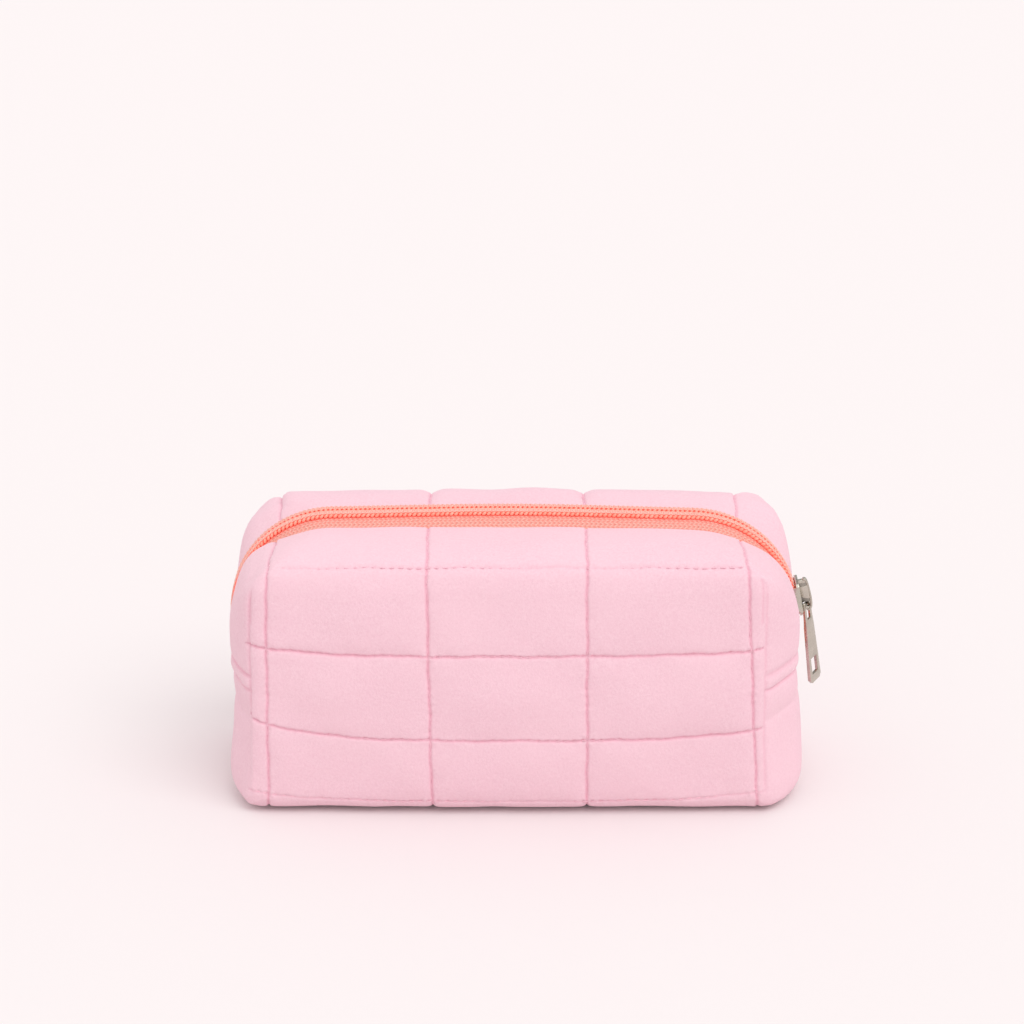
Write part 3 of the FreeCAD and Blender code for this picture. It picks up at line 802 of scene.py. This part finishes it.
def merge(parts):
    """One mesh from several (points, faces)."""
    points, faces, start = [], [], 0
    for p, f in parts:
        points.append(p)
        faces += [[int(v) + start for v in face] for face in f]
        start += len(p)
    return np.concatenate(points), faces


# ---- materials
class Nodes:
    """A short way to write a node tree; inputs go by name, or by number as i0, i1, ..."""

    def __init__(self, owner):
        owner.use_nodes = True
        self.tree = owner.node_tree

    def node(self, kind, **inputs):
        made = self.tree.nodes.new("ShaderNode" + kind)
        for key, value in inputs.items():
            self.put(made, key, value)
        return made

    def put(self, made, key, value):
        if hasattr(made, key):
            setattr(made, key, value)
            return
        socket = made.inputs[int(key[1:]) if key[0] == "i" else key]
        if isinstance(value, bpy.types.NodeSocket):
            self.tree.links.new(value, socket)
        else:
            socket.default_value = value

    def mixed_shader(self, factor, a, b, output):
        both = self.node("MixShader", i0=factor, i1=a, i2=b)
        self.tree.links.new(both.outputs[0], self.tree.nodes[output].inputs["Surface"])


class Material(Nodes):
    """Node materials, with the position in the row frame as their texture space."""

    def __init__(self, name):
        self.material = bpy.data.materials.new(name)
        super().__init__(self.material)
        self.shader = self.tree.nodes["Principled BSDF"]
        self.position = self.node("TexCoord").outputs["Object"]

    def set(self, **values):
        for key, value in values.items():
            self.put(self.shader, key.replace("_", " "), value)

    def noise(self, size_mm, detail=3.0, roughness=0.55):
        return self.node("TexNoise", Scale=1 / (size_mm * MM), Detail=detail, Roughness=roughness,
                         Vector=self.position).outputs["Fac"]

    def math(self, operation, a, b=0.0):
        return self.node("Math", operation=operation, i0=a, i1=b).outputs[0]

    def sine(self, value, period):
        return self.math("SINE", self.math("MULTIPLY", value, tau / period))

    def span(self, value, low=0.3, high=0.7, to_low=0.0, to_high=1.0):
        """The value's range from low to high, carried to another; noise mostly fills 0.3 to 0.7."""
        return self.node("MapRange", i0=value, i1=low, i2=high, i3=to_low, i4=to_high).outputs["Result"]

    def mix(self, factor, a, b):
        return self.node("Mix", data_type="RGBA", i0=factor, i6=a, i7=b).outputs[2]

    def bump(self, height, distance_mm, strength=1.0, **below):
        return self.node("Bump", Strength=strength, Distance=distance_mm * MM, Height=height,
                         **below).outputs["Normal"]


def rgba(r, g, b):
    return (r, g, b, 1.0)


def srgb(r, g, b, tone=1.0):
    """Linear colour from 0-255 display values, all well above black."""
    return rgba(*(((v * tone / 255 + 0.055) / 1.055) ** 2.4 for v in (r, g, b)))


def velvet_material():
    """Short-pile velvet: fine grain, soft brushed patches, and painted shade that darkens the creases."""
    m = Material("velvet")
    pile = m.noise(0.85, 4.0, 0.75)
    nap = m.noise(4.5, 3.0, 0.65)
    drift = m.noise(34.0, 2.0, 0.5)
    base = m.mix(m.span(pile), srgb(241, 197, 210), srgb(253, 217, 227))
    brushed = m.mix(m.span(nap, to_high=0.5), base, srgb(248, 205, 218))
    colour = m.mix(m.span(drift, to_high=0.4), brushed, srgb(252, 213, 223))
    # painted shade: the crease attribute darkens the colour along the quilting creases and seams, where
    # shade would fall
    crease = m.node("Attribute", attribute_name="crease").outputs["Fac"]
    colour = m.mix(m.math("MULTIPLY", crease, 0.5), colour, srgb(238, 160, 183))
    m.set(Base_Color=colour, Roughness=0.95, Specular_IOR_Level=0.1, Sheen_Weight=0.35,
          Sheen_Roughness=0.5, Sheen_Tint=srgb(255, 232, 238))
    m.set(Normal=m.bump(nap, 0.30, 0.3, Normal=m.bump(pile, 0.30, 0.6)))
    return m.material


def lining_material(name):
    """Thin plain-woven cloth."""
    m = Material(name)
    split = m.node("SeparateXYZ", i0=m.position)
    threads = [m.sine(split.outputs[n], LINING_WEAVE * MM) for n in range(3)]
    weave = m.math("ADD", m.math("ADD", threads[0], threads[1]), threads[2])
    cloud = m.noise(20.0, 2.0, 0.5)
    colour = m.mix(m.span(cloud), srgb(238, 172, 188), srgb(246, 188, 202))
    colour = m.mix(m.span(weave, -2.0, 2.0, to_high=0.3), colour, srgb(252, 208, 219))
    m.set(Base_Color=colour, Roughness=0.6, Sheen_Weight=0.2, Normal=m.bump(weave, 0.05, 0.5))
    return m.material


def thread_material(name, light, dark):
    m = Material(name)
    twist = m.node("TexWave", Scale=1800.0, Distortion=1.0, wave_type="BANDS",
                   bands_direction="DIAGONAL", Vector=m.position).outputs["Fac"]
    m.set(Base_Color=m.mix(twist, dark, light), Roughness=0.6, Sheen_Weight=0.3,
          Normal=m.bump(twist, 0.05, 0.5))
    return m.material


def tape_material():
    """Herringbone-woven zip tape; the mesh's UV is millimetres along and across it."""
    m = Material("zip_tape")
    split = m.node("SeparateXYZ", i0=m.node("UVMap").outputs["UV"])
    along, across = split.outputs[0], split.outputs[1]
    zigzag = m.math("PINGPONG", across, 0.9)
    twill = m.sine(m.math("ADD", along, zigzag), TWILL)
    rib = m.sine(across, RIB)
    weave = m.math("ADD", m.math("MULTIPLY", twill, 0.6), m.math("MULTIPLY", rib, 0.4))
    fuzz = m.noise(0.9, 3.0, 0.6)
    colour = m.mix(m.span(weave, -1.0, 1.0), srgb(246, 138, 122), srgb(255, 196, 182))
    colour = m.mix(m.span(fuzz, to_high=0.3), colour, srgb(253, 176, 161))
    m.set(Base_Color=colour, Roughness=0.75, Sheen_Weight=0.3, Sheen_Tint=srgb(255, 220, 212),
          Normal=m.bump(weave, 0.25, 0.8, Normal=m.bump(fuzz, 0.1, 0.4)))
    return m.material


def coil_material():
    """Glossy nylon; the light that would shine through it is painted in as an emission of its own colour.
    """
    m = Material("zip_coil")
    patch = m.noise(3.0, 2.0, 0.5)
    colour = m.mix(m.span(patch), srgb(255, 138, 118), srgb(255, 158, 140))
    # painted light: the coil glows with its own colour, standing in for light that passes through the
    # nylon
    m.set(Base_Color=colour, Roughness=m.span(patch, to_low=0.25, to_high=0.38), Emission_Color=colour,
          Emission_Strength=0.38, Normal=m.bump(m.noise(0.4, 2.0), 0.03, 0.3))
    return m.material


def nickel_material(name, scratch=0.3, tone=1.0):
    """Satin nickel with fine tumbling marks and smears, and painted highlights that make its edges paler.
    """
    m = Material(name)
    grain = m.noise(0.5, 5.0, 0.7)
    smear = m.noise(4.5, 3.0, 0.6)
    colour = m.mix(m.span(smear), srgb(188, 183, 171, tone), srgb(206, 200, 188, tone))
    # painted highlight: convex edges, found by pointiness, are made paler
    edge = m.node("NewGeometry").outputs["Pointiness"]
    colour = m.mix(m.span(edge, 0.51, 0.56, to_high=0.6), colour, srgb(226, 220, 208))
    m.set(Base_Color=colour, Metallic=1.0, Roughness=m.span(smear, to_low=0.2, to_high=0.3),
          Normal=m.bump(grain, 0.006, scratch))
    return m.material


LINING_WEAVE = 0.6  # the repeats of the weaves
TWILL = 1.5
RIB = 1.1
VELVET = velvet_material()
LINING = lining_material("lining")
BINDING = lining_material("binding")
THREAD = thread_material("quilting_thread", srgb(255, 212, 224), srgb(246, 186, 203))
COIL = coil_material()
TAPE = tape_material()
SEWING = thread_material("coil_sewing", srgb(255, 214, 202), srgb(255, 178, 160))
CORD = thread_material("filler_cord", srgb(255, 160, 138), srgb(250, 132, 110))
NICKEL = nickel_material("satin_nickel")
STEEL = nickel_material("spring_steel", 0.2)
SHADED = nickel_material("shaded_steel", 0.2, 0.42)  # in the slider's own shadow


# ---- quilting stitches
THREAD_R = 0.18


def stitch_mesh(start, end, lift):
    """A short thread that arcs slightly out of the crease between its two holes."""
    t = np.linspace(0, 1, 6)[:, None]
    centres = start + (end - start) * t + lift * (np.sin(t * pi) * 0.25 - 0.12)
    taper = THREAD_R * np.array([0.55, 0.95, 1.0, 1.0, 0.95, 0.55])
    return tube_mesh(centres, taper, 6)


def velvet_point(origin, ray):
    """The velvet's surface where rays from inside meet it, and its normals."""
    p = land_on_bag(origin, ray)
    eps = 0.2
    gradient = np.stack([soft_distance(p + axis * eps) - soft_distance(p - axis * eps)
                         for axis in np.eye(3)], 1)
    normal = gradient / np.linalg.norm(gradient, axis=1)[:, None]
    height, _ = quilting(p, normal, 0.0)
    height += body_shape(p, normal) - edge_round(p, normal)
    return laid(p, normal) + normal * height[:, None], normal


def resample(points, normals, step):
    """Evenly spaced points, and their normals, along a polyline."""
    at = np.concatenate([[0.0], np.cumsum(np.linalg.norm(np.diff(points, axis=0), axis=1))])
    s = np.linspace(0, at[-1], max(2, int(at[-1] / step)) + 1)
    return [np.stack([np.interp(s, at, a[:, n]) for n in range(3)], 1) for a in (points, normals)]


def column_line(column, side):
    """The velvet's surface along one column, from the bottom seam round to the zip."""
    angle = np.linspace(-pi / 2, pi / 2, 240)
    ray = np.stack([0 * angle, side * np.cos(angle), np.sin(angle)], 1)
    origin = np.tile([COLUMNS[column], side * 0.5, 42.0], (len(angle), 1))
    origin[:, 0] = column_x(column, land_on_bag(origin, ray))
    p, normal = velvet_point(origin, ray)
    keep = (abs(p[:, 1]) > SLOT_HALF + 1.5) | (p[:, 2] < SEAM_Z)
    keep &= side * p[:, 1] > 1.0
    return p[keep], normal[keep]


def row_line(row, side):
    x = np.linspace(-CORNER_SEAM_X + 1, CORNER_SEAM_X - 1, 200)
    origin = np.stack([x, np.full(len(x), side * CORE_Y), row_height(row, x)], 1)
    origin = origin[sharp_distance(origin) < -1.5]
    return velvet_point(origin, np.tile([0.0, side, 0.0], (len(origin), 1)))


def quilting_stitches(side, name):
    lines = [column_line(c, side) for c in range(len(COLUMNS))]
    lines += [row_line(r, side) for r in range(len(ROWS))]
    parts = []
    for points, normals in lines:
        p, n = resample(points, normals, STITCH)
        for a, b, lift in zip(p[:-1], p[1:], n[:-1]):
            gap = (b - a) * 0.14
            parts.append(stitch_mesh(a + gap, b - gap, lift))
    soft_piece(f"{name}_quilting_stitches", *merge(parts), "quilting_thread", THREAD,
               f"{name}_quilting_thread")


# ---- zip
COIL_PITCH = 1.5
COIL_FROM = 2.9  # how far short of the tape's ends the chain stops
WIRE_R = 0.48
COIL_DEPTH = 0.6
COIL_HIGH = 0.8
COIL_INNER = -0.42  # the heads cross the middle by this much
COIL_OUTER = 3.95
CORD_ACROSS = 1.9  # the filler cord's distance from the middle, and its strands
CORD_TWIST = 2.4
STRAND_R = 0.38
SEWING_LINES = ((1.35, 1), (1.95, -1), (2.55, 1), (3.1, -1))
SEWING_R = 0.2
TAPE_DEPTH = 1.42
TAPE_THICK = 0.5
TAPE_ACROSS = [0.9, 1.6, 2.6, 3.6, 4.2, 4.8, 5.4, 6.0, 6.6, 7.2, 7.8, 8.4, 8.9]
TAPE_DROP = 2.6  # how much lower it goes under the velvet
END_TAB = 4.0  # the length of the tabs over the tape's ends


def zip_coil(side, s0, s1):
    """One half of the chain: wire in a flattened helix, half a turn off the other half's."""
    turns = (s1 - s0) / COIL_PITCH
    angle = np.linspace(0, turns * tau, int(turns * 18))
    middle = (COIL_INNER + COIL_OUTER) / 2
    half = (COIL_OUTER - COIL_INNER) / 2 - WIRE_R
    s = s0 + angle / (tau) * COIL_PITCH
    phase = (0.25 if side < 0 else 0.75) + (s0 / COIL_PITCH) % 1.0
    turn = angle + phase * tau
    lean = 0.05 * COIL_PITCH * np.sin(turn * 2)
    across = middle - half * np.sign(np.cos(turn)) * abs(np.cos(turn)) ** 0.75 + chain_spread(s)
    out = -COIL_DEPTH + (COIL_HIGH - WIRE_R) * np.sign(np.sin(turn)) * abs(np.sin(turn)) ** 0.8
    return tube_mesh(ZIP.place(s + lean, side * across, out), WIRE_R, 8)


def coil_cord(side, s0, s1):
    """Three twisted strands that fill the coil."""
    s = np.arange(s0, s1, 0.9)
    strands = []
    for k in range(3):
        a = s * tau / CORD_TWIST + k * tau / 3
        centre = CORD_ACROSS + chain_spread(s) + 0.9 * np.cos(a)
        path = ZIP.place(s, side * centre, -COIL_DEPTH + 0.08 * np.sin(a))
        strands.append(tube_mesh(path, STRAND_R, 6))
    return merge(strands)


def coil_sewing(side, s0, s1):
    """The lines of knitted chain stitch that hold a coil to its tape."""
    parts = []
    s = np.arange(s0, s1, COIL_PITCH / 12)
    turn = tau * s / COIL_PITCH
    for across, lean in SEWING_LINES:
        out = -COIL_DEPTH + COIL_HIGH + 0.04 + 0.12 * np.cos(turn + lean)
        y = across + chain_spread(s) + 0.12 * np.sin(turn + lean)
        parts.append(tube_mesh(ZIP.place(s, side * y, out), SEWING_R, 6))
    return merge(parts)


def zip_tape(side, s0, s1):
    """The woven tape, from under the coil down and out to under the velvet's edge."""
    upper = [(y, 0.05 * math.sin(y * tau / 1.2)) for y in TAPE_ACROSS]
    profile = upper + [(y, out - TAPE_THICK) for y, out in upper[::-1]]
    s = np.linspace(s0, s1, int((s1 - s0) / 0.9))
    rows = []
    fall = TAPE_DROP * np.maximum(0.3 + 0.7 * zip_sink(ZIP.upward(s)), 0.3)
    for y, out in profile:
        shift = chain_spread(s) * np.clip((SLOT_HALF - y) / 5.0, 0, 1)
        depth = TAPE_DEPTH + fall * np.clip((y - 3.4) / 5.5, 0, 1) ** 1.15
        rows.append(ZIP.place(s, side * (y + shift), out - depth + 0.05 * np.sin(s * 0.9 + y)))
    return swept(s, rows, profile, flip=side < 0)


def swept(s, rows, profile, flip=False):
    """Points, faces and UV (along, across) of a profile whose every point runs along a row."""
    uv = [(a, y) for a in s for y, _ in profile]
    return np.stack(rows, 1).reshape(-1, 3), strip_faces(len(s), len(profile), flip), uv


def tape_piece(name, points, faces, uv, *stands_for):
    """A piece of woven tape, whose cut ends and folds stay sharp."""
    tape = soft_piece(name, points, faces, "zip_tape", TAPE, *stands_for, uv=uv)
    tape.data.set_sharp_from_angle(angle=radians(50))
    return tape


def end_tab(name, s0, s1):
    """The folded cloth that joins both tapes at the chain's end."""
    s = np.linspace(s0, s1, 8)
    profile = [(-3.6, -1.3), (0.0, -1.15), (3.6, -1.3), (3.6, -1.7), (-3.6, -1.7)]
    tape_piece(name, *swept(s, [ZIP.place(s, y, out) for y, out in profile], profile))


def build_zip():
    """Both halves of the zip, each split where the right-hand arch meets the top; the arch pieces get
    meshes of their own.
    """
    bend = ZIP.arch_end
    for side, name in SIDES:
        for run, chain, tape in (("arch", (COIL_FROM, bend), (0.0, bend)),
                                 ("top", (bend, ZIP.length - COIL_FROM), (bend, ZIP.length))):
            label = f"{name}_{run}"
            pieces = [soft_piece(f"{label}_coil", *zip_coil(side, *chain), "zip_coil", COIL,
                                 f"{name}_zip_coil"),
                      soft_piece(f"{label}_filler_cord", *coil_cord(side, *chain), "coil_cord", CORD,
                                 f"{name}_coil_cord"),
                      soft_piece(f"{label}_coil_sewing", *coil_sewing(side, *chain), "zip_tape", SEWING),
                      tape_piece(f"{label}_woven_tape", *zip_tape(side, *tape), f"{name}_zip_tape")]
            if run == "arch":
                for piece in pieces:
                    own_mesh(piece)
    end_tab("right_zip_end_tab", 0.0, END_TAB)
    end_tab("left_zip_end_tab", ZIP.length - END_TAB, ZIP.length)


# ---- metal
def round_edges(obj, radius):
    """Round the object's edges over and shade it smooth."""
    bevel = obj.modifiers.new("rounding", "BEVEL")
    bevel.width = radius * MM
    bevel.segments = 3
    bevel.limit_method = "ANGLE"
    bevel.angle_limit = radians(25)
    finished = bpy.data.meshes.new_from_object(obj.evaluated_get(bpy.context.evaluated_depsgraph_get()))
    obj.modifiers.clear()
    obj.data = finished
    finished.name = obj.name
    finished.polygons.foreach_set("use_smooth", [True] * len(finished.polygons))
    finished.set_sharp_from_angle(angle=radians(40))


def rounded_metal(node, radius, material):
    """The CAD part's own shape with the rounded edges of cast and tumbled metal."""
    form = bmesh.new()
    form.from_mesh(frame["nodes"][node].data)
    bmesh.ops.remove_doubles(form, verts=form.verts, dist=2e-6)
    bmesh.ops.dissolve_limit(form, angle_limit=radians(1.0), verts=form.verts, edges=form.edges)
    mesh = bpy.data.meshes.new(f"{node}_metal")
    form.to_mesh(mesh)
    form.free()
    obj = linked(mesh)
    round_edges(obj, radius)
    add_piece(obj, frame["nodes"][node]["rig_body"], material, (node,))


def slider_point(u, y, n):
    """A point of the slider: u towards its nose, y across, n out of the bag."""
    out = SLIDER_OUT
    nose = np.array([out[2], 0.0, -out[0]])
    return PIVOT + nose * (u - PIVOT_U) + np.array([0.0, y, 0.0]) + out * (n - PIVOT_N)


PIVOT_U = 3.1  # the crossbar's place in the slider's own frame
PIVOT_N = 4.2
CHEEK = [(-2.9, 2.6), (0.3, 2.6), (0.8, 3.4), (1.2, 4.4), (1.4, 5.5), (-3.3, 5.5)]
SHADE_PLATE = [(-4.4, 2.6), (4.2, 2.6), (4.2, 2.95), (2.5, 3.0), (2.4, 3.7), (2.4, 5.5), (-4.4, 5.4)]
STRAP_OUTER = [(-5.6, 4.1), (-5.6, 5.0), (-5.0, 5.5), (-3.4, 5.85), (-1.2, 6.05), (1.0, 6.2), (3.0, 6.15),
               (4.6, 5.85), (5.5, 5.2), (5.65, 4.1)]
STRAP_INNER = [(5.0, 4.1), (4.8, 4.8), (3.8, 5.35), (1.0, 5.45), (-1.2, 5.35), (-3.4, 5.15), (-4.8, 4.8),
               (-4.95, 4.1)]


def upright_plates(name, outline, spans, rounding, material, stands_for=()):
    """Plates in or over the slider's eye, each between two levels across it."""
    parts = []
    for span in spans:
        rows = [[slider_point(u, y, n) for u, n in outline] for y in span]
        parts.append((np.concatenate(rows), strip_faces(2, len(outline), flip=True)))
    obj = make_object(name, *merge(parts))
    round_edges(obj, rounding)
    add_piece(obj, "slider", material, stands_for)


def build_metal():
    upright_plates("slider_cap_strap", STRAP_OUTER + STRAP_INNER, [(-1.05, 1.05)], 0.24,
                   NICKEL, ("slider_cap",))
    upright_plates("slider_cap_cheeks", CHEEK, [(-1.02, -0.85), (0.85, 1.02)], 0.05, NICKEL)
    # painted shade: dark steel plates fill the slider's eye, where there is only its own shadow
    upright_plates("slider_shade_plates", SHADE_PLATE, [(-0.82, -0.68), (0.68, 0.82)], 0.04,
                   SHADED)
    rounded_metal("slider_body", 0.16, NICKEL)
    rounded_metal("lock_pawl", 0.1, STEEL)
    rounded_metal("puller", 0.22, NICKEL)


def finish_carried_over():
    """The CAD's own bindings stay, as woven cloth."""
    for obj in frame["nodes"].values():
        if not obj.hide_render:
            obj.data.materials.clear()
            obj.data.materials.append(BINDING)


# ---- stage
FLOOR_HALF = 30.0
FLOOR_GLOW = 0.02  # the floor's share of brightness without shadows
AMBIENT = 0.895
KEY_STRENGTH = 0.82
KEY_ANGLE = 40.0
KEY_TOWARDS = (-0.5, 0.6, -1.0)
ELEVATION = 22.0
DISTANCE = 1088.0
LENS = 116.6
AIM_RIGHT = -1.0
AIM_UP = 41.9


def floor():
    h = FLOOR_HALF
    mesh = bpy.data.meshes.new("floor")
    mesh.from_pydata([(-h, -h, 0), (h, -h, 0), (h, h, 0), (-h, h, 0)], [], [(0, 1, 2, 3)])
    m = Material("floor")
    seen = m.node("LightPath").outputs["Is Camera Ray"]
    m.set(Base_Color=m.mix(seen, srgb(232, 224, 224), srgb(244, 238, 238)), Roughness=1.0,
          Specular_IOR_Level=0.0)
    glow = m.node("Emission", Color=srgb(254, 246, 245), Strength=1.0).outputs[0]
    share = m.math("MULTIPLY", seen, FLOOR_GLOW)
    m.mixed_shader(share, m.shader.outputs[0], glow, "Material Output")
    mesh.materials.append(m.material)
    linked(mesh)


def world():
    """Even pale light; reflections see a banded studio, so that metal has contrast."""
    studio = bpy.data.worlds.new("studio")
    w = Nodes(studio)
    upward = w.node("SeparateXYZ", i0=w.node("TexCoord").outputs["Generated"]).outputs[2]
    ramp = w.node("ValToRGB", i0=upward)
    bands = ramp.color_ramp.elements
    bands[0].color = rgba(0.80, 0.76, 0.74)
    for place, level in ((0.12, 0.95), (0.3, 0.35), (0.5, 0.12), (0.62, 1.0), (0.85, 1.2)):
        bands.new(place).color = rgba(level, level * 0.99, level * 0.97)
    bands[-1].color = rgba(1.2, 1.2, 1.2)
    plain = w.node("Background", Color=rgba(1.0, 0.985, 0.985), Strength=AMBIENT).outputs[0]
    banded = w.node("Background", Color=ramp.outputs[0]).outputs[0]
    w.mixed_shader(w.node("LightPath").outputs["Is Glossy Ray"], plain, banded, "World Output")
    SCENE.world = studio


def key_light():
    sun = bpy.data.lights.new("soft_key", "SUN")
    sun.energy = KEY_STRENGTH
    sun.angle = radians(KEY_ANGLE)
    sun.color = (1.0, 0.985, 0.98)
    linked(sun).rotation_euler = Vector(KEY_TOWARDS).to_track_quat("-Z", "Y").to_euler()


def camera():
    data = bpy.data.cameras.new("camera")
    data.lens = LENS
    data.sensor_width = 36.0
    data.clip_start, data.clip_end = 0.05, 60.0
    cam = linked(data)
    SCENE.camera = cam
    e = radians(ELEVATION)
    middle = Vector((END_MIDDLE + AIM_RIGHT, 0.0, APEX_Z / 2)) * MM
    cam.location = middle + Vector((0, -math.cos(e), math.sin(e))) * DISTANCE * MM
    aim = middle + Vector((0.0, math.sin(e), math.cos(e))) * AIM_UP * MM
    cam.rotation_euler = (aim - cam.location).to_track_quat("-Z", "Y").to_euler()


build_shell()
for half in SIDES:
    quilting_stitches(*half)
build_zip()
build_metal()
finish_carried_over()
floor()
world()
key_light()
camera()
SCENE.view_settings.view_transform = "Standard"
